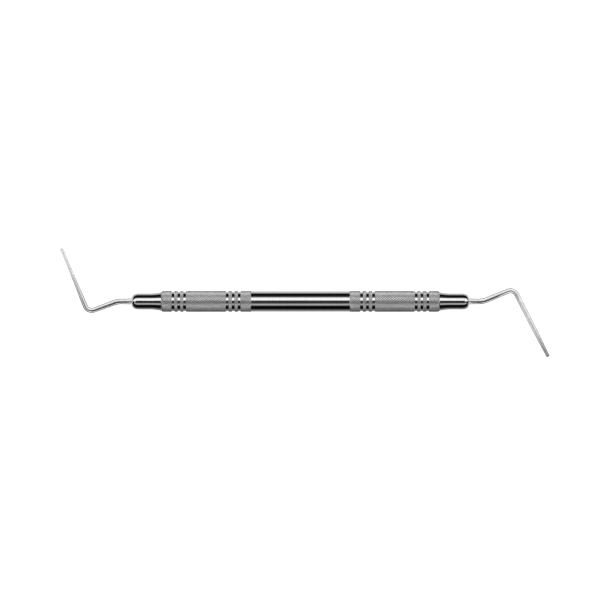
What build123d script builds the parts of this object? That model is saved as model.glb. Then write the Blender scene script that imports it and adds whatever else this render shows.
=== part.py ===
from build123d import *
import math
import os

# Double-ended dental plugger, lying flat.
# Frame: origin at the middle of the handle, on its axis. +X along the handle towards
# end B, +Y in the plane of both bends (end A's leg points to +Y, end B's to -Y), +Z up
# out of that plane. All sizes in millimetres.

# ---- handle tube -------------------------------------------------------------
POLISHED_R = 3.175          # smooth centre band, 6.35 mm bar stock
KNURL_R = 3.25              # crest radius of the rolled diamond knurl
BORE_R = 2.00               # through bore of the tube
COUNTERBORE_R = 2.15        # seat for the nose cone's spigot
COUNTERBORE_DEPTH = 8.5
TUBE_HALF = 43.66           # tube end face, from the middle
CENTRE_HALF = 15.40         # end of the smooth centre band
CENTRE_STEP = 0.56          # run-out of the knurl, a shallow ramp up to the crests
GROOVE_R = 3.02             # floor radius of the finger grooves
GROOVE_TOP = 1.02           # groove width at the crest
GROOVE_FLOOR = 0.74         # groove width at the floor
GROOVE_X = (19.19, 21.04, 22.95, 36.27, 38.09, 39.94)
END_CHAMFER_X = 0.42        # chamfer at the tube's ends
END_CHAMFER_R = 2.95

# ---- nose cones --------------------------------------------------------------
CONE_LENGTH = 9.20          # shoulder to nose
CONE_BASE_R = 2.93
CONE_BODY_R = 2.51
FLARE_LENGTH = 3.50
FLARE_POWER = 1.8
NOSE_LENGTH = 1.95          # elliptical nose
NOSE_FLAT_R = 1.25          # flat ring round the tang at the very end
SPIGOT_LENGTH = 8.00
SPIGOT_CHAMFER = 0.35
TANG_R = 0.94               # blind bore in the nose and the tang pressed into it
TANG_BORE_DEPTH = 12.00
TANG_GAP = 0.25             # tang end to the bottom of the blind bore
DRILL_HALF_ANGLE = 59.0

# ---- working ends ------------------------------------------------------------
# corner points of each centreline in the XY plane, bend radii, and radii of the
# round section: (fraction of the leg's straight length, radius)
NOSE_X = TUBE_HALF + CONE_LENGTH

A_CORNERS = ((-57.45, 0.00), (-66.70, -3.41), (-75.08, 16.77))
A_BEND_R = (7.00, 2.15)
A_SECTION_R = (0.88, 0.78)          # at the first and the second bend
A_LEG = ((0.00, 0.78), (0.12, 0.74), (0.25, 0.65), (0.40, 0.565),
         (0.55, 0.530), (0.75, 0.518), (1.00, 0.512))

B_CORNERS = ((57.38, 0.00), (67.00, 3.99), (77.82, -17.33))
B_BEND_R = (7.00, 2.25)
B_SECTION_R = (0.88, 0.80)
B_LEG = ((0.00, 0.80), (0.25, 0.785), (0.50, 0.760), (0.65, 0.720),
         (0.78, 0.640), (0.88, 0.570), (1.00, 0.530))

TIP_CHAMFER = 0.06


def lathe(points):
    """Solid of revolution about X of a closed polyline outline of (x, r) points."""
    return revolve(make_face(Polyline(*points, close=True)), Axis.X)


def handle_outline():
    """Outer outline of one half of the tube, from the middle outwards."""
    pts = [(0.0, POLISHED_R), (CENTRE_HALF, POLISHED_R),
           (CENTRE_HALF + CENTRE_STEP, KNURL_R)]
    for gx in GROOVE_X:
        pts += [(gx - GROOVE_TOP / 2, KNURL_R), (gx - GROOVE_FLOOR / 2, GROOVE_R),
                (gx + GROOVE_FLOOR / 2, GROOVE_R), (gx + GROOVE_TOP / 2, KNURL_R)]
    pts += [(TUBE_HALF - END_CHAMFER_X, KNURL_R), (TUBE_HALF, END_CHAMFER_R)]
    return pts


def make_handle():
    right = handle_outline()
    left = [(-x, r) for x, r in reversed(right[1:])]
    inner = [(TUBE_HALF, COUNTERBORE_R),
             (TUBE_HALF - COUNTERBORE_DEPTH, COUNTERBORE_R),
             (TUBE_HALF - COUNTERBORE_DEPTH, BORE_R),
             (-TUBE_HALF + COUNTERBORE_DEPTH, BORE_R),
             (-TUBE_HALF + COUNTERBORE_DEPTH, COUNTERBORE_R),
             (-TUBE_HALF, COUNTERBORE_R)]
    return lathe(left + right + inner)


def cone_radius(t):
    """Outer radius of the nose cone, t mm out from its shoulder."""
    if t <= FLARE_LENGTH:
        rise = (1 - t / FLARE_LENGTH) ** FLARE_POWER
        return CONE_BODY_R + (CONE_BASE_R - CONE_BODY_R) * rise
    start = CONE_LENGTH - NOSE_LENGTH
    if t <= start:
        return CONE_BODY_R
    u = min(1.0, (t - start) / NOSE_LENGTH)
    return NOSE_FLAT_R + (CONE_BODY_R - NOSE_FLAT_R) * math.sqrt(1 - u * u)


def make_cone(side):
    """side is +1 or -1: the cone at the +X or the -X end."""
    x0 = TUBE_HALF
    start = CONE_LENGTH - NOSE_LENGTH
    bore_end = CONE_LENGTH - TANG_BORE_DEPTH
    drill = TANG_R / math.tan(math.radians(DRILL_HALF_ANGLE))
    with BuildSketch() as outline:
        with BuildLine():
            Polyline((x0 + bore_end - drill, 0), (x0 - SPIGOT_LENGTH, 0),
                     (x0 - SPIGOT_LENGTH, COUNTERBORE_R - SPIGOT_CHAMFER),
                     (x0 - SPIGOT_LENGTH + SPIGOT_CHAMFER, COUNTERBORE_R),
                     (x0, COUNTERBORE_R), (x0, CONE_BASE_R))
            Spline(*[(x0 + t, cone_radius(t))
                     for t in [FLARE_LENGTH * i / 6 for i in range(7)]],
                   tangents=((FLARE_LENGTH,
                              -FLARE_POWER * (CONE_BASE_R - CONE_BODY_R)), (1, 0)))
            Line((x0 + FLARE_LENGTH, CONE_BODY_R), (x0 + start, CONE_BODY_R))
            EllipticalCenterArc((x0 + start, NOSE_FLAT_R), NOSE_LENGTH,
                                CONE_BODY_R - NOSE_FLAT_R, start_angle=0, arc_size=90)
            Polyline((x0 + CONE_LENGTH, NOSE_FLAT_R), (x0 + CONE_LENGTH, TANG_R),
                     (x0 + bore_end, TANG_R), (x0 + bore_end - drill, 0))
        make_face()
    solid = revolve(outline.sketch, Axis.X)
    return solid if side > 0 else mirror(solid, Plane.YZ)


def unit(a, b):
    v = Vector(*b) - Vector(*a)
    return v.normalized()


def make_working_end(side, corners, bend_r, section_r, leg):
    """Tang, straight run, shallow bend, sloping run, sharp bend and tapered leg."""
    tang_end = NOSE_X - TANG_BORE_DEPTH + TANG_GAP
    start = Vector(side * tang_end, 0)
    nodes = [start] + [Vector(*c) for c in corners]
    pieces = []
    at = start
    notes = []
    for i in (0, 1):
        p, q, r = nodes[i], nodes[i + 1], nodes[i + 2]
        d0, d1 = (q - p).normalized(), (r - q).normalized()
        turn = d0.get_angle(d1)
        cut = bend_r[i] * math.tan(math.radians(turn) / 2)
        arc_in = q - d0 * cut
        # straight run up to the bend
        length = (arc_in - at).length
        if i == 0:
            nose = NOSE_X - tang_end
            prof = [(0, 0), (TANG_R - 0.12, 0), (TANG_R, 0.25), (TANG_R, nose),
                    (section_r[0], length), (0, length)]
        else:
            prof = [(0, 0), (section_r[0], 0), (section_r[1], length), (0, length)]
        run = revolve(make_face(Plane.XZ * Polyline(*prof, close=True)), Axis.Z)
        pieces.append(Plane(origin=at, z_dir=d0).location * run)
        # the bend, a piece of a torus
        sign = 1 if d0.cross(d1).Z > 0 else -1
        centre = arc_in + d0.rotate(Axis.Z, 90 * sign) * bend_r[i]
        face = Plane(origin=arc_in, z_dir=d0) * Circle(section_r[i])
        bend = revolve(face, Axis(centre, (0, 0, sign)), revolution_arc=turn)
        pieces.append(bend)
        at = q + d1 * cut
        notes.append((round(turn, 2), round(length, 2)))
    # the leg, a smooth taper that ends in a flat blunt tip
    d = (nodes[3] - nodes[2]).normalized()
    length = (nodes[3] - at).length
    tip_r = leg[-1][1]
    with BuildSketch(Plane.XZ) as outline:
        with BuildLine():
            pts = [(r, f * length) for f, r in leg[:-1]]
            pts += [(tip_r, length - TIP_CHAMFER)]
            Polyline((0, length), (0, 0), (leg[0][1], 0))
            Spline(*pts)
            Polyline((tip_r, length - TIP_CHAMFER), (tip_r - TIP_CHAMFER, length),
                     (0, length))
        make_face()
    taper = revolve(outline.sketch, Axis.Z)
    pieces.append(Plane(origin=at, z_dir=d).location * taper)
    solid = pieces[0]
    for piece in pieces[1:]:
        solid = solid + piece
    print("working end", "B" if side > 0 else "A", "turns and runs", notes,
          "leg", round(length, 2), "direction", round(d.X, 5), round(d.Y, 5))
    return solid


parts = {
    "handle_tube": make_handle(),
    "nose_cone_a": make_cone(-1),
    "nose_cone_b": make_cone(+1),
    "working_end_a": make_working_end(-1, A_CORNERS, A_BEND_R, A_SECTION_R, A_LEG),
    "working_end_b": make_working_end(+1, B_CORNERS, B_BEND_R, B_SECTION_R, B_LEG),
}

os.makedirs("parts", exist_ok=True)
for name, shape in parts.items():
    shape.label = name
    export_step(shape, f"parts/{name}.step")
    box = shape.bounding_box()
    print(name, "solids", len(shape.solids()), "valid", shape.is_valid,
          "volume", round(shape.volume, 2),
          "x", round(box.min.X, 3), round(box.max.X, 3),
          "y", round(box.min.Y, 3), round(box.max.Y, 3),
          "z", round(box.min.Z, 3), round(box.max.Z, 3))
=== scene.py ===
import math

import bpy
import numpy as np
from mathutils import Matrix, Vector


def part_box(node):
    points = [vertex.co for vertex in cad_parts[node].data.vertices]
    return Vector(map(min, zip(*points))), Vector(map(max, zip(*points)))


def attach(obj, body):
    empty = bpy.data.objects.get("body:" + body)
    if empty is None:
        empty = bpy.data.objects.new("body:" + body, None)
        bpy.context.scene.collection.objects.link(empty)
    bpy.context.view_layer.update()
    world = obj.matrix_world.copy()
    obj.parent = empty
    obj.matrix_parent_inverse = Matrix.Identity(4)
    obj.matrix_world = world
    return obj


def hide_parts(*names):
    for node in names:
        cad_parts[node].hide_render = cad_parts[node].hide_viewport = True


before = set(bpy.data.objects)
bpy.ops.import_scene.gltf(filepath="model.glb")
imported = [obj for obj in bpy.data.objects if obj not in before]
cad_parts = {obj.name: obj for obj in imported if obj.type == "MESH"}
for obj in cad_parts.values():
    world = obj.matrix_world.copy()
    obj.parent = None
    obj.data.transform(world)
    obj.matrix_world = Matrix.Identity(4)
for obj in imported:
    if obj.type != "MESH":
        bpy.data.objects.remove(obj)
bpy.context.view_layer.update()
scene = bpy.context.scene
MM = 0.001

# ------------------------------------------------------------------ the frame
# The CAD says where everything is; only the fine shape inside those boxes is
# repeated here, in millimetres.
tube_lo, tube_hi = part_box("handle_tube")
nose_lo, nose_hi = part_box("nose_cone_b")
TUBE_HALF = tube_hi.x / MM           # end face of the tube
CREST_R = tube_hi.z / MM             # crests of the knurl
NOSE_X = nose_hi.x / MM              # end of the nose cones
FLOOR_Z = tube_lo.z                  # what the handle lies on

POLISHED_R = 3.175
BORE_R = 2.00
SPIGOT_R = 2.15
COUNTERBORE = 8.5
CENTRE_HALF = 15.40
GROOVE_R = 3.02
FLOOR_HALF = 0.385                   # half width of a groove's floor
GROOVE_X = (19.19, 21.04, 22.95, 36.27, 38.09, 39.94)

AROUND = 32                          # diamonds round the handle
PITCH = 0.845                        # diamond length along the axis
PARTS = 6                            # mesh steps in one diamond
COLUMNS = AROUND * PARTS


# ------------------------------------------------------------------ mesh tools
def object_from(name, verts, faces, smooth=None, material_index=None, sharp_deg=32):
    mesh = bpy.data.meshes.new(name)
    mesh.from_pydata([tuple(v) for v in verts], [], faces)
    mesh.update()
    flags = np.ones(len(mesh.polygons), bool) if smooth is None else np.array(smooth, bool)
    mesh.polygons.foreach_set("use_smooth", flags)
    if material_index is not None:
        mesh.polygons.foreach_set("material_index", np.array(material_index, np.int32))
    mesh.set_sharp_from_angle(angle=math.radians(sharp_deg))
    mesh.validate()
    mesh.update()
    obj = bpy.data.objects.new(name, mesh)
    scene.collection.objects.link(obj)
    return obj


def ring_faces(a, b, n):
    """Quads between ring a and ring b of n vertices, facing outwards."""
    return [(a + j, a + (j + 1) % n, b + (j + 1) % n, b + j) for j in range(n)]


def lathe(name, profile, n, side=1, sharp_deg=32):
    """A closed turned piece. profile runs from the axis to the axis, as (x, r)."""
    verts, faces = [], []
    angle = np.arange(n) * 2 * math.pi / n
    verts.append((profile[0][0], 0.0, 0.0))
    rows = profile[1:-1]
    for x, r in rows:
        for a in angle:
            verts.append((x, r * math.cos(a), r * math.sin(a)))
    last = len(verts)
    verts.append((profile[-1][0], 0.0, 0.0))
    faces += [(0, 1 + (j + 1) % n, 1 + j) for j in range(n)]
    for k in range(len(rows) - 1):
        faces += ring_faces(1 + k * n, 1 + (k + 1) * n, n)
    top = 1 + (len(rows) - 1) * n
    faces += [(top + j, top + (j + 1) % n, last) for j in range(n)]
    v = np.array(verts) * MM
    if side < 0:
        v[:, 0] *= -1
        faces = [f[::-1] for f in faces]
    return object_from(name, v, faces, sharp_deg=sharp_deg)


# ------------------------------------------------------------------ handle tube
def turned_radius(x):
    """The turned outline without the knurl: smooth band, run-outs, grooves, ends."""
    x = abs(x)
    pts = [(0.0, POLISHED_R), (CENTRE_HALF, POLISHED_R), (CENTRE_HALF + 0.10, 3.215),
           (CENTRE_HALF + 0.22, CREST_R)]
    for g in GROOVE_X:
        pts += [(g - FLOOR_HALF - 0.165, CREST_R), (g - FLOOR_HALF - 0.105, CREST_R - 0.030),
                (g - FLOOR_HALF - 0.030, GROOVE_R + 0.030), (g - FLOOR_HALF, GROOVE_R),
                (g + FLOOR_HALF, GROOVE_R), (g + FLOOR_HALF + 0.030, GROOVE_R + 0.030),
                (g + FLOOR_HALF + 0.105, CREST_R - 0.030), (g + FLOOR_HALF + 0.165, CREST_R)]
    pts += [(TUBE_HALF - 0.46, CREST_R), (TUBE_HALF - 0.36, CREST_R - 0.03),
            (TUBE_HALF - 0.04, 2.99), (TUBE_HALF, 2.95)]
    xs, rs = zip(*pts)
    return float(np.interp(x, xs, rs)), xs


CUT_AT = (0.0, 0.135, 0.270, 0.5)     # across one groove of the knurl, in pitches
CUT_BY = (-0.135, -0.080, -0.003, 0.0)


def knurl_depth(s, t):
    """Height of the diamond knurl under its crests; s and t count its two sets of grooves."""
    def cut(w):
        return np.interp(np.abs(w - np.round(w)), CUT_AT, CUT_BY)
    return np.minimum(cut(s), cut(t))


def to_edges(w):
    """Moves evenly spaced mesh lines onto the edges of the grooves."""
    d = w - np.round(w)
    return w + np.sign(d) * (np.interp(np.abs(d), (0.0, 1 / 6, 2 / 6, 0.5), CUT_AT) - np.abs(d))


def make_tube():
    knots = turned_radius(0.0)[1]
    rows = []
    # the smooth band, then the knurl's own rows, then the turned edges
    for x in np.linspace(-CENTRE_HALF, CENTRE_HALF, 23):
        rows.append(float(x))
    step = PITCH / PARTS
    lattice = [i * step for i in range(1, 400)
               if CENTRE_HALF + 0.12 < i * step < TUBE_HALF - 0.03]
    marks = [k for k in knots if k > CENTRE_HALF + 0.01]
    def in_groove(x):
        return any(abs(x - g) < FLOOR_HALF - 1e-6 for g in GROOVE_X)
    side = sorted(marks + [x for x in lattice if not in_groove(x)
                           and min(abs(x - m) for m in marks) > 0.032])
    rows = [-x for x in reversed(side)] + rows + side

    theta = np.arange(COLUMNS) * 2 * math.pi / COLUMNS
    u = np.arange(COLUMNS) / PARTS
    grid = []
    for x in rows:
        s, t = u + x / PITCH, u - x / PITCH
        near = min(abs(abs(x) - m) for m in marks + [CENTRE_HALF])
        move = min(1.0, max(0.0, (near - 0.03) / 0.10)) if abs(x) > CENTRE_HALF else 0.0
        s = s + (to_edges(s) - s) * move
        t = t + (to_edges(t) - t) * move
        along, around = (s - t) / 2 * PITCH, (s + t) / 2 * 2 * math.pi / AROUND
        turned = np.array([turned_radius(v)[0] for v in along])
        run = min(1.0, max(0.0, (abs(x) - CENTRE_HALF - 0.02) / 0.16))
        r = turned
        if abs(x) > CENTRE_HALF + 1e-6:
            r = np.minimum(CREST_R + knurl_depth(s, t) * run, turned)
        grid.append(np.stack([along, r * np.cos(around), r * np.sin(around)], 1))
    outer = len(rows)
    # end faces and bore, with small lead-in chamfers
    inner = [(TUBE_HALF, SPIGOT_R + 0.08), (TUBE_HALF - 0.08, SPIGOT_R),
             (TUBE_HALF - COUNTERBORE, SPIGOT_R), (TUBE_HALF - COUNTERBORE, BORE_R),
             (-TUBE_HALF + COUNTERBORE, BORE_R), (-TUBE_HALF + COUNTERBORE, SPIGOT_R),
             (-TUBE_HALF + 0.08, SPIGOT_R), (-TUBE_HALF, SPIGOT_R + 0.08)]
    for x, r in inner:
        grid.append(np.stack([np.full(COLUMNS, x), r * np.cos(theta), r * np.sin(theta)], 1))
    total = len(grid)
    verts = np.concatenate(grid) * MM
    faces, smooth, index = [], [], []
    n = COLUMNS
    for k in range(total):
        nxt = (k + 1) % total
        a, b = k * n, nxt * n
        flat = False
        if k < outer - 1:
            mid = abs(rows[k] + rows[k + 1]) / 2
            floor = any(abs(mid - g) < FLOOR_HALF for g in GROOVE_X)
            wall = any(abs(mid - g) < FLOOR_HALF + 0.105 for g in GROOVE_X)
            flat = mid > CENTRE_HALF + 0.01 and not wall and mid < TUBE_HALF - 0.05
            knurled = mid > CENTRE_HALF + 0.01 and not floor and mid < TUBE_HALF - 0.05
        else:
            knurled = False
        if not knurled:
            quads = ring_faces(a, b, n)
            faces += quads
            smooth += [True] * n
            index += [0] * n
            continue
        vm = (rows[k] + rows[k + 1]) / 2 / PITCH
        for j in range(n):
            um = (j + 0.5) / PARTS
            s, t = um + vm, um - vm
            ds, dt = abs(s - round(s)), abs(t - round(t))
            a0, a1 = a + j, a + (j + 1) % n
            b0, b1 = b + j, b + (j + 1) % n
            if ds < dt:
                faces += [(a0, a1, b0), (a1, b1, b0)]
            else:
                faces += [(a0, a1, b1), (a0, b1, b0)]
            smooth += [not flat] * 2
            index += [1] * 2
    return object_from("handle_barrel", verts, faces, smooth, index, sharp_deg=26)


# ------------------------------------------------------------------ nose cones
CONE_LENGTH = NOSE_X - TUBE_HALF
TANG_R = 0.94
TANG_DEPTH = 12.0


def cone_profile():
    x0 = TUBE_HALF
    flare, base, body, nose, flat = 3.50, 2.93, 2.51, 1.95, 1.25
    start = CONE_LENGTH - nose
    p = [(x0 - 8.0, 0.0), (x0 - 8.0, 1.80), (x0 - 7.65, SPIGOT_R), (x0 - 0.02, SPIGOT_R),
         (x0, SPIGOT_R + 0.02), (x0, base - 0.07), (x0 + 0.012, base - 0.035),
         (x0 + 0.045, base - 0.012)]
    for i in range(2, 29):
        t = flare * i / 28
        p.append((x0 + t, body + (base - body) * (1 - t / flare) ** 1.8))
    for i in range(1, 6):
        p.append((x0 + flare + (start - flare) * i / 5, body))
    for i in range(1, 31):
        a = math.pi / 2 * i / 30
        p.append((x0 + start + nose * math.sin(a), flat + (body - flat) * math.cos(a)))
    p += [(NOSE_X, TANG_R + 0.10), (NOSE_X - 0.02, TANG_R + 0.045), (NOSE_X - 0.07, TANG_R + 0.004),
          (NOSE_X - TANG_DEPTH, TANG_R + 0.004),
          (NOSE_X - TANG_DEPTH - TANG_R / math.tan(math.radians(59)), 0.0)]
    return p


# ------------------------------------------------------------------ working ends
A_CORNERS = ((-57.45, 0.00), (-66.70, -3.41), (-75.08, 16.77))
A_BEND_R = (7.00, 2.15)
A_SECTION_R = (0.88, 0.78)
A_LEG = ((0.00, 0.78), (0.12, 0.74), (0.25, 0.65), (0.40, 0.565),
         (0.55, 0.530), (0.75, 0.518), (1.00, 0.512))
B_CORNERS = ((57.38, 0.00), (67.00, 3.99), (77.82, -17.33))
B_BEND_R = (7.00, 2.25)
B_SECTION_R = (0.88, 0.80)
B_LEG = ((0.00, 0.80), (0.25, 0.785), (0.50, 0.760), (0.65, 0.720),
         (0.78, 0.640), (0.88, 0.570), (1.00, 0.530))


def hermite(x, xs, ys):
    """Smooth interpolation through (xs, ys) with three-point slopes."""
    xs, ys = np.array(xs), np.array(ys)
    d = np.diff(ys) / np.diff(xs)
    m = np.empty(len(xs))
    m[0], m[-1] = d[0], d[-1]
    m[1:-1] = (d[:-1] * np.diff(xs)[1:] + d[1:] * np.diff(xs)[:-1]) / (xs[2:] - xs[:-2])
    i = min(max(int(np.searchsorted(xs, x)) - 1, 0), len(xs) - 2)
    h = xs[i + 1] - xs[i]
    t = (x - xs[i]) / h
    return float((2 * t**3 - 3 * t**2 + 1) * ys[i] + (t**3 - 2 * t**2 + t) * h * m[i]
                 + (-2 * t**3 + 3 * t**2) * ys[i + 1] + (t**3 - t**2) * h * m[i + 1])


def make_shank(name, side, corners, bend_r, section_r, leg, n=48):
    """The wire of one working end: tang, straight, bend, slope, bend, tapered leg."""
    tang = NOSE_X - TANG_DEPTH + 0.25
    nodes = [np.array((side * tang, 0.0))] + [np.array(c) for c in corners]
    rings = []          # (centre, direction, radius)
    at = nodes[0]
    for i in (0, 1):
        p, q, r = nodes[i], nodes[i + 1], nodes[i + 2]
        d0 = (q - p) / np.linalg.norm(q - p)
        d1 = (r - q) / np.linalg.norm(r - q)
        turn = math.acos(float(np.clip(d0 @ d1, -1, 1)))
        sign = 1.0 if d0[0] * d1[1] - d0[1] * d1[0] > 0 else -1.0
        cut = bend_r[i] * math.tan(turn / 2)
        arc_in = q - d0 * cut
        length = float(np.linalg.norm(arc_in - at))
        if i == 0:
            nose = NOSE_X - tang
            marks = [(0.0, TANG_R - 0.12), (0.25, TANG_R), (nose - 0.4, TANG_R), (nose, TANG_R)]
            rest = np.linspace(nose, length, 9)[1:]
            marks += [(float(s), float(np.interp(s, (nose, length), (TANG_R, section_r[0]))))
                      for s in rest]
        else:
            marks = [(float(s), float(np.interp(s, (0, length), section_r)))
                     for s in np.linspace(0, length, 13)[1:]]
        rings += [(at + d0 * s, d0, rad) for s, rad in marks]
        steps = max(6, int(round(math.degrees(turn) / 3)))
        normal = np.array((-d0[1], d0[0])) * sign
        centre = arc_in + normal * bend_r[i]
        for k in range(1, steps + 1):
            a = turn * k / steps * sign
            c, s = math.cos(a), math.sin(a)
            rot = np.array(((c, -s), (s, c)))
            rings.append((centre - rot @ normal * bend_r[i], rot @ d0, section_r[i]))
        at = q + d1 * cut
    d = (nodes[3] - nodes[2]) / np.linalg.norm(nodes[3] - nodes[2])
    length = float(np.linalg.norm(nodes[3] - at))
    fr, rr = zip(*leg)
    for s in np.linspace(0, length - 0.07, 60)[1:]:
        rings.append((at + d * s, d, hermite(s / length, fr, rr)))
    tip = leg[-1][1]
    for back, less in ((0.040, 0.008), (0.018, 0.022), (0.006, 0.042), (0.0, 0.066)):
        rings.append((at + d * (length - back), d, tip - less))
    for less in (0.5, 0.9):
        rings.append((at + d * length, d, tip * (1 - less)))

    verts, faces = [(nodes[0][0], nodes[0][1], 0.0)], []
    for c, t, r in rings:
        nx, ny = -t[1], t[0]
        for j in range(n):
            a = 2 * math.pi * j / n
            verts.append((c[0] + r * math.cos(a) * nx, c[1] + r * math.cos(a) * ny,
                          r * math.sin(a)))
    verts.append((nodes[3][0], nodes[3][1], 0.0))
    faces += [(0, 1 + (j + 1) % n, 1 + j) for j in range(n)]
    for k in range(len(rings) - 1):
        faces += ring_faces(1 + k * n, 1 + (k + 1) * n, n)
    top = 1 + (len(rings) - 1) * n
    faces += [(top + j, top + (j + 1) % n, len(verts) - 1) for j in range(n)]
    return object_from(name, np.array(verts) * MM, faces, sharp_deg=50)


# ------------------------------------------------------------------ materials
class Nodes:
    """A little shorthand for building node trees."""

    def __init__(self, tree):
        self.tree = tree
        tree.nodes.clear()

    def new(self, kind, **settings):
        node = self.tree.nodes.new(kind)
        for key, value in settings.items():
            setattr(node, key, value)
        return node

    def link(self, source, target):
        self.tree.links.new(source, target)

    def put(self, socket, value):
        if hasattr(value, "is_output"):
            self.link(value, socket)
        else:
            socket.default_value = value

    def math(self, op, a, b=0.0, c=0.0, clamp=False):
        node = self.new("ShaderNodeMath", operation=op, use_clamp=clamp)
        for i, value in enumerate((a, b, c)):
            self.put(node.inputs[i], value)
        return node.outputs[0]

    def spread(self, value, a, b, to_a, to_b, smooth=False):
        node = self.new("ShaderNodeMapRange", clamp=True,
                        interpolation_type="SMOOTHSTEP" if smooth else "LINEAR")
        for i, v in enumerate((value, a, b, to_a, to_b)):
            self.put(node.inputs[i], v)
        return node.outputs[0]

    def vector(self, x, y, z):
        node = self.new("ShaderNodeCombineXYZ")
        for i, value in enumerate((x, y, z)):
            self.put(node.inputs[i], value)
        return node.outputs[0]

    def noise(self, vector, scale, detail=2.0, rough=0.5):
        node = self.new("ShaderNodeTexNoise", noise_dimensions="3D")
        self.put(node.inputs["Vector"], vector)
        node.inputs["Scale"].default_value = scale
        node.inputs["Detail"].default_value = detail
        node.inputs["Roughness"].default_value = rough
        return node.outputs["Fac"]

    def mix_colour(self, factor, a, b):
        node = self.new("ShaderNodeMix", data_type="RGBA")
        self.put(node.inputs[0], factor)
        self.put(node.inputs[6], a)
        self.put(node.inputs[7], b)
        return node.outputs[2]

    def bump(self, height, distance, strength=1.0, normal=None):
        node = self.new("ShaderNodeBump")
        node.inputs["Strength"].default_value = strength
        node.inputs["Distance"].default_value = distance
        self.put(node.inputs["Height"], height)
        if normal is not None:
            self.link(normal, node.inputs["Normal"])
        return node.outputs["Normal"]


def steel(name):
    material = bpy.data.materials.new(name)
    material.use_nodes = True
    n = Nodes(material.node_tree)
    out = n.new("ShaderNodeOutputMaterial")
    shader = n.new("ShaderNodeBsdfPrincipled")
    n.link(shader.outputs[0], out.inputs["Surface"])
    shader.inputs["Metallic"].default_value = 1.0
    place = n.new("ShaderNodeTexCoord").outputs["Object"]
    split = n.new("ShaderNodeSeparateXYZ")
    n.link(place, split.inputs[0])
    x, y, z = split.outputs
    return material, n, shader, place, x, y, z


def grey(v, warm=0.0):
    return (v + warm, v + warm * 0.4, v - warm * 0.2, 1.0)


def polished_steel(name, seed):
    """Turned and buffed stainless: fine rings round the axis, faint rubbed patches."""
    material, n, shader, place, x, y, z = steel(name)
    around = n.math("ARCTAN2", z, y)
    rings = n.noise(n.vector(n.math("MULTIPLY", x, 9000.0),
                             n.math("MULTIPLY", around, 0.35), seed), 1.0, 3.0, 0.6)
    wide = n.noise(n.vector(n.math("MULTIPLY", x, 1600.0),
                            n.math("MULTIPLY", around, 0.20), seed + 4.0), 1.0, 2.0, 0.5)
    rub = n.noise(n.vector(n.math("MULTIPLY", x, 220.0), n.math("MULTIPLY", y, 420.0),
                           n.math("MULTIPLY", z, 420.0)), 1.0, 4.0, 0.62)
    hair = n.noise(n.vector(n.math("MULTIPLY", x, 350.0),
                            n.math("MULTIPLY", y, 9000.0), n.math("MULTIPLY", z, 9000.0)),
                   1.0, 2.0, 0.5)
    hair = n.spread(hair, 0.66, 0.74, 0.0, 1.0, smooth=True)
    tone = n.spread(wide, 0.30, 0.72, 0.0, 1.0)
    colour = n.mix_colour(tone, grey(0.700), grey(0.765))
    worn = n.spread(rub, 0.35, 0.75, 0.0, 1.0)
    colour = n.mix_colour(n.math("MULTIPLY", worn, 0.5), colour, grey(0.685))
    n.link(colour, shader.inputs["Base Color"])
    rough = n.spread(rub, 0.30, 0.75, 0.050, 0.105)
    rough = n.math("ADD", rough, n.spread(rings, 0.35, 0.75, 0.0, 0.030))
    rough = n.math("ADD", rough, n.math("MULTIPLY", hair, 0.05), clamp=True)
    n.link(rough, shader.inputs["Roughness"])
    height = n.math("ADD", n.math("MULTIPLY", rings, 0.55), n.math("MULTIPLY", wide, 1.0))
    height = n.math("SUBTRACT", height, n.math("MULTIPLY", hair, 0.5))
    n.link(n.bump(height, 3.0e-7), shader.inputs["Normal"])
    return material


def knurl_steel(name, seed):
    """The rolled diamonds: base colour lighter on the crests and darker in the valleys as painted
    shade, the valleys duller too.
    """
    material, n, shader, place, x, y, z = steel(name)
    radius = n.math("SQRT", n.math("ADD", n.math("MULTIPLY", y, y), n.math("MULTIPLY", z, z)))
    crest_mask_and_painted_shade = n.spread(radius, (CREST_R - 0.125) * MM, (CREST_R - 0.012) * MM, 0.0, 1.0, smooth=True)
    patch = n.noise(place, 420.0, 4.0, 0.6)
    grain = n.noise(place, 16000.0, 3.0, 0.6)
    each = n.noise(place, 2300.0, 2.0, 0.55)
    # painted shade: the base colour runs from dark in the knurl's valleys to light on its crests
    base = n.mix_colour(crest_mask_and_painted_shade, grey(0.62, 0.003), grey(0.88))
    base = n.mix_colour(n.spread(patch, 0.35, 0.72, 0.0, 0.35), base, grey(0.60, 0.003))
    base = n.mix_colour(n.spread(each, 0.40, 0.70, 0.0, 0.30), base, grey(0.86))
    n.link(base, shader.inputs["Base Color"])
    rough = n.spread(crest_mask_and_painted_shade, 0.0, 1.0, 0.42, 0.30)
    rough = n.math("ADD", rough, n.spread(grain, 0.35, 0.70, -0.04, 0.08))
    rough = n.math("ADD", rough, n.spread(patch, 0.30, 0.75, -0.03, 0.05), clamp=True)
    n.link(rough, shader.inputs["Roughness"])
    n.link(n.bump(n.math("ADD", grain, n.math("MULTIPLY", each, 1.5)), 2.5e-6),
           shader.inputs["Normal"])
    return material


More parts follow.
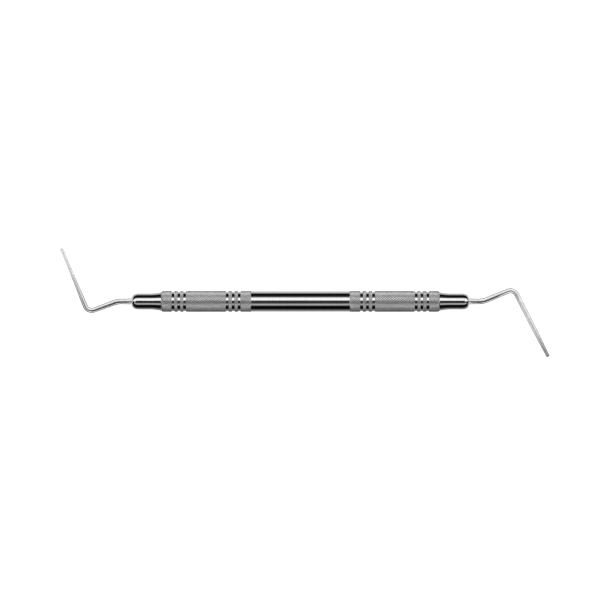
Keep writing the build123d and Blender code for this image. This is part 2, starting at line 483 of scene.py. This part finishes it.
def satin_steel(name, seed, corners, painted_reflection, dulls):
    """Satin stainless wire: fine grain and drawn lines, the leg duller than the shank, and a base
    colour painted lighter and darker along the leg as painted reflection.

    The reflectance table after the corners lists (distance past the sharp bend along the leg in mm,
    reflectance); its steps paint the reflections along the leg into the base colour. dulls is the
    stretch of the leg over which the finish turns dull."""
    material, n, shader, place, x, y, z = steel(name)
    grain = n.noise(place, 9000.0, 3.0, 0.65)
    cloud = n.noise(place, 300.0 + seed, 4.0, 0.6)
    lines = n.noise(n.vector(n.math("MULTIPLY", x, 500.0), n.math("MULTIPLY", y, 500.0),
                             n.math("MULTIPLY", z, 6500.0)), 1.0, 3.0, 0.6)
    (cx, cy), (tx, ty) = corners[1:]
    size = math.hypot(tx - cx, ty - cy)
    ux, uy = (tx - cx) / size, (ty - cy) / size
    along = n.math("MULTIPLY_ADD", x, ux / MM, -(cx * ux + cy * uy))
    along = n.math("MULTIPLY_ADD", y, uy / MM, along)
    # painted reflection: the base colour steps lighter and darker along the leg through the
    # reflectance table
    ramp = n.new("ShaderNodeValToRGB")
    n.link(n.spread(along, -4.0, 26.0, 0.0, 1.0), ramp.inputs[0])
    stops = ramp.color_ramp.elements
    while len(stops) > 1:
        stops.remove(stops[0])
    stops[0].position = 0.0
    for i, (at, level) in enumerate(painted_reflection):
        stop = stops[0] if i == 0 else stops.new((at + 4.0) / 30.0)
        stop.color = grey(level, 0.002)
    worn = n.math("MULTIPLY", n.spread(lines, 0.30, 0.70, 0.90, 1.06),
                  n.spread(cloud, 0.35, 0.72, 1.0, 0.93))
    tint = n.new("ShaderNodeMix", data_type="RGBA", blend_type="MULTIPLY")
    tint.inputs[0].default_value = 1.0
    n.link(ramp.outputs[0], tint.inputs[6])
    n.link(n.vector(worn, worn, worn), tint.inputs[7])
    n.link(tint.outputs[2], shader.inputs["Base Color"])
    leg = n.spread(along, dulls[0], dulls[1], 0.0, 0.20, smooth=True)
    rough = n.math("ADD", n.spread(cloud, 0.30, 0.72, 0.28, 0.35), leg)
    rough = n.math("ADD", rough, n.spread(grain, 0.35, 0.70, -0.03, 0.05))
    n.link(n.math("ADD", rough, n.spread(lines, 0.3, 0.7, -0.02, 0.02), clamp=True),
           shader.inputs["Roughness"])
    height = n.math("ADD", grain, n.math("MULTIPLY", lines, 1.2))
    n.link(n.bump(height, 2.2e-6), shader.inputs["Normal"])
    return material


# ------------------------------------------------------------------ the pieces
polished = polished_steel("polished_steel_handle", 1.7)
knurl = knurl_steel("knurled_steel", 3.1)

barrel = make_tube()
barrel.data.materials.append(polished)
barrel.data.materials.append(knurl)
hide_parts("handle_tube")
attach(barrel, "root")

for side, end in ((-1, "a"), (1, "b")):
    cone = lathe("nose_" + end, cone_profile(), 128, side)
    cone.data.materials.append(polished_steel("polished_steel_nose_" + end, 5.3 + side))
    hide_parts("nose_cone_" + end)
    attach(cone, "root")

shank_a = make_shank("shank_a", -1, A_CORNERS, A_BEND_R, A_SECTION_R, A_LEG)
shank_b = make_shank("shank_b", 1, B_CORNERS, B_BEND_R, B_SECTION_R, B_LEG)
# Painted reflection along the legs: base colour reflectance by distance past the sharp bend in mm,
# lighter and darker where the legs catch or lose reflections
PAINTED_LEG_REFLECTION = {"a": ((-4.0, 0.75), (0.0, 0.74), (5.0, 0.74), (7.4, 0.74), (10.8, 0.80), (14.2, 0.89),
               (17.7, 0.97), (26.0, 0.99)),
         "b": ((-4.0, 0.75), (-0.5, 0.74), (1.5, 0.90), (3.5, 0.99), (9.5, 0.99), (11.2, 0.97),
               (14.7, 0.88), (18.3, 0.70), (21.8, 0.43), (26.0, 0.40))}
for shank, end, corners, seed, dulls in ((shank_a, "a", A_CORNERS, 0.0, (3.5, 11.0)),
                                         (shank_b, "b", B_CORNERS, 37.0, (0.0, 5.0))):
    shank.data.materials.append(satin_steel("satin_steel_" + end, seed, corners, PAINTED_LEG_REFLECTION[end], dulls))
    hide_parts("working_end_" + end)
    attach(shank, "root")


# ------------------------------------------------------------------ floor
def make_floor():
    material = bpy.data.materials.new("pale_floor")
    material.use_nodes = True
    n = Nodes(material.node_tree)
    out = n.new("ShaderNodeOutputMaterial")
    shader = n.new("ShaderNodeBsdfPrincipled")
    n.link(shader.outputs[0], out.inputs["Surface"])
    place = n.new("ShaderNodeTexCoord").outputs["Object"]
    fibre = n.noise(place, 900.0, 3.0, 0.6)
    n.link(n.mix_colour(fibre, (0.460, 0.460, 0.460, 1), (0.470, 0.470, 0.470, 1)),
           shader.inputs["Base Color"])
    # a lit table: half of its white comes from below, a little less of it out
    # past the handle, where the thin wires shade it least
    split = n.new("ShaderNodeSeparateXYZ")
    n.link(place, split.inputs[0])
    out_along = n.math("ABSOLUTE", split.outputs[0])
    shader.inputs["Emission Color"].default_value = (1.0, 1.0, 1.0, 1.0)
    n.link(n.spread(out_along, 0.052, 0.062, 0.70, 0.56, smooth=True),
           shader.inputs["Emission Strength"])
    shader.inputs["Roughness"].default_value = 0.9
    shader.inputs["Specular IOR Level"].default_value = 0.0
    h = 12.0
    mesh = bpy.data.meshes.new("floor")
    mesh.from_pydata([(-h, -h, FLOOR_Z), (h, -h, FLOOR_Z), (h, h, FLOOR_Z), (-h, h, FLOOR_Z)],
                     [], [(0, 1, 2, 3)])
    mesh.materials.append(material)
    floor = bpy.data.objects.new("floor", mesh)
    scene.collection.objects.link(floor)
    floor.visible_glossy = False


make_floor()


# ------------------------------------------------------------------ light
# A white light tent, as steel sees it. One row per direction round the handle's
# axis: degrees from straight up (+ towards +Y) and brightness. A bright softbox
# overhead towards +Y, a dimmer one towards -Y, the dark slot between them that
# the camera looks through, black flags low on both sides, and the white table.
KEY = 1.6
TENT = ((-180, 0.55), (-150, 0.50), (-128, 0.44), (-106, 0.11), (-94, 0.008), (-80, 0.002),
        (-64, 0.006), (-55, 0.03), (-50, 0.12), (-45, 0.46), (-42, 0.62), (-29, 0.62),
        (-24, 0.15), (-16, 0.05), (-4, 0.05), (6, 0.09), (10, 0.24), (13, KEY), (41, KEY),
        (46, 0.45), (52, 0.20), (60, 0.09), (69, 0.008), (84, 0.002), (94, 0.004), (98, 0.12),
        (108, 0.42), (124, 0.86), (150, 1.0), (180, 0.80))

BANK_NEAR, BANK_FAR = 0.28, 1.75


def make_world():
    world = bpy.data.worlds.new("studio")
    scene.world = world
    world.use_nodes = True
    n = Nodes(world.node_tree)
    out = n.new("ShaderNodeOutputWorld")
    direction = n.new("ShaderNodeTexCoord").outputs["Generated"]
    split = n.new("ShaderNodeSeparateXYZ")
    n.link(direction, split.inputs[0])
    dx, dy, dz = split.outputs
    turn = n.math("DEGREES", n.math("ARCTAN2", dy, dz))
    ramp = n.new("ShaderNodeValToRGB")
    n.link(n.spread(turn, -180.0, 180.0, 0.0, 1.0), ramp.inputs[0])
    stops = ramp.color_ramp.elements
    while len(stops) > 1:
        stops.remove(stops[0])
    stops[0].position = 0.0
    for i, (degrees, level) in enumerate(TENT):
        stop = stops[0] if i == 0 else stops.new((degrees + 180) / 360)
        stop.color = (level / KEY,) * 3 + (1.0,)
    tent = n.math("MULTIPLY", ramp.outputs[0], KEY)
    # the banks above the two ends of the object, brighter towards +Y
    bank = n.spread(n.math("ABSOLUTE", dx), 0.38, 0.56, 0.0, 1.0, smooth=True)
    far = n.spread(turn, 46.0, 62.0, 1.0, 0.0, smooth=True)
    near = n.spread(turn, -58.0, -40.0, 0.0, 1.0, smooth=True)
    level = n.spread(turn, -10.0, 14.0, BANK_NEAR, BANK_FAR, smooth=True)
    # full strength over the corners +X+Y and -X-Y, dimmed over the other two
    corner = n.spread(n.math("MULTIPLY", dx, dy), -0.15, 0.0, 0.40, 1.0, smooth=True)
    bank = n.math("MULTIPLY", n.math("MULTIPLY", bank, level), n.math("MULTIPLY", far, near))
    bank = n.math("MULTIPLY", bank, corner)
    seen = n.new("ShaderNodeBackground")
    n.link(n.math("MAXIMUM", tent, bank), seen.inputs["Strength"])
    plain = n.new("ShaderNodeBackground")
    plain.inputs["Color"].default_value = (1.0, 1.0, 1.0, 1.0)
    plain.inputs["Strength"].default_value = 1.2
    path = n.new("ShaderNodeLightPath")
    shader = n.new("ShaderNodeMixShader")
    n.link(path.outputs["Is Glossy Ray"], shader.inputs[0])
    n.link(plain.outputs[0], shader.inputs[1])
    n.link(seen.outputs[0], shader.inputs[2])
    n.link(shader.outputs[0], out.inputs["Surface"])
    world.cycles.sampling_method = "NONE"


make_world()


def area_light(name, place, aim, width, height, radiance, only=None):
    lamp = bpy.data.lights.new(name, "AREA")
    lamp.shape = "RECTANGLE"
    lamp.size, lamp.size_y = width, height
    lamp.energy = radiance * math.pi * width * height
    obj = bpy.data.objects.new(name, lamp)
    obj.location = place
    obj.rotation_mode = "QUATERNION"
    obj.rotation_quaternion = (obj.location - Vector(aim)).to_track_quat("Z", "Y")
    obj.visible_camera = False
    scene.collection.objects.link(obj)
    if only:
        group = bpy.data.collections.new(name + "_lights")
        for piece in only:
            group.objects.link(piece)
        obj.light_linking.receiver_collection = group
    return obj


softbox = area_light("softbox", (-0.12, 0.42, 0.85), (0, 0, 0), 0.9, 0.5, 1.2)
softbox.visible_glossy = False
# the low walls of the tent, which only the satin wires pick up
for name, place, length, height, radiance in (("wall_left", (-0.60, 0.0, 0.20), 1.2, 0.38, 1.04),
                                              ("wall_right", (0.60, 0.0, 0.25), 1.2, 0.32, 0.32),
                                              ("wall_far", (0.0, 0.50, 0.20), 0.9, 0.38, 1.40),
                                              ("wall_near", (0.0, -0.50, 0.20), 1.0, 0.40, 1.50)):
    wall = area_light(name, place, (0, 0, place[2]), length, height, radiance,
                      only=(shank_a, shank_b))
    wall.visible_diffuse = False

# black flags over the wires, seen only in their reflection, between them and the
# near softbox
def make_flag(name, line, edges):
    """A strip beside a centre line; edges are its two (offset, height) lines in mm."""
    material = bpy.data.materials.new(name)
    material.use_nodes = True
    n = Nodes(material.node_tree)
    out = n.new("ShaderNodeOutputMaterial")
    shader = n.new("ShaderNodeBsdfDiffuse")
    shader.inputs["Color"].default_value = (0.01, 0.01, 0.01, 1.0)
    n.link(shader.outputs[0], out.inputs["Surface"])
    verts = []
    for i, (x, y) in enumerate(line):
        j = min(i, len(line) - 2)
        dx, dy = line[j + 1][0] - line[j][0], line[j + 1][1] - line[j][1]
        size = math.hypot(dx, dy)
        side = (dy / size, -dx / size) if dx > 0 else (-dy / size, dx / size)
        for reach, height in edges:
            verts.append(((x + side[0] * reach) * MM, (y + side[1] * reach) * MM, height * MM))
    faces = [(2 * i, 2 * i + 1, 2 * i + 3, 2 * i + 2) for i in range(len(line) - 1)]
    mesh = bpy.data.meshes.new(name)
    mesh.from_pydata(verts, [], faces)
    mesh.materials.append(material)
    flag = bpy.data.objects.new(name, mesh)
    scene.collection.objects.link(flag)
    flag.visible_camera = flag.visible_diffuse = flag.visible_shadow = False


make_flag("flag_a", ((-54.1, 0.0), (-57.45, 0.0), (-67.4, -3.45)), ((-0.3, 3.5), (7.6, 3.5)))
make_flag("flag_a_leg", ((-66.0, -3.6), (-67.2, -3.2), (-72.0, 9.0)), ((3.0, 1.0), (3.0, -3.0)))
make_flag("flag_b", ((54.1, 0.0), (57.38, 0.0), (63.0, 2.33)), ((-0.3, 3.5), (7.6, 3.5)))

# ------------------------------------------------------------------ camera
camera_data = bpy.data.cameras.new("camera")
camera_data.lens = 200.0
camera_data.sensor_width = 36.0
camera_data.clip_start, camera_data.clip_end = 0.01, 100.0
camera = bpy.data.objects.new("camera", camera_data)
camera.location = (-0.00012, 0.00044, 0.1884 * 200.0 / 36.0)
scene.collection.objects.link(camera)
scene.camera = camera

scene.cycles.filter_width = 1.15
scene.view_settings.view_transform = "Standard"
scene.view_settings.look = "None"
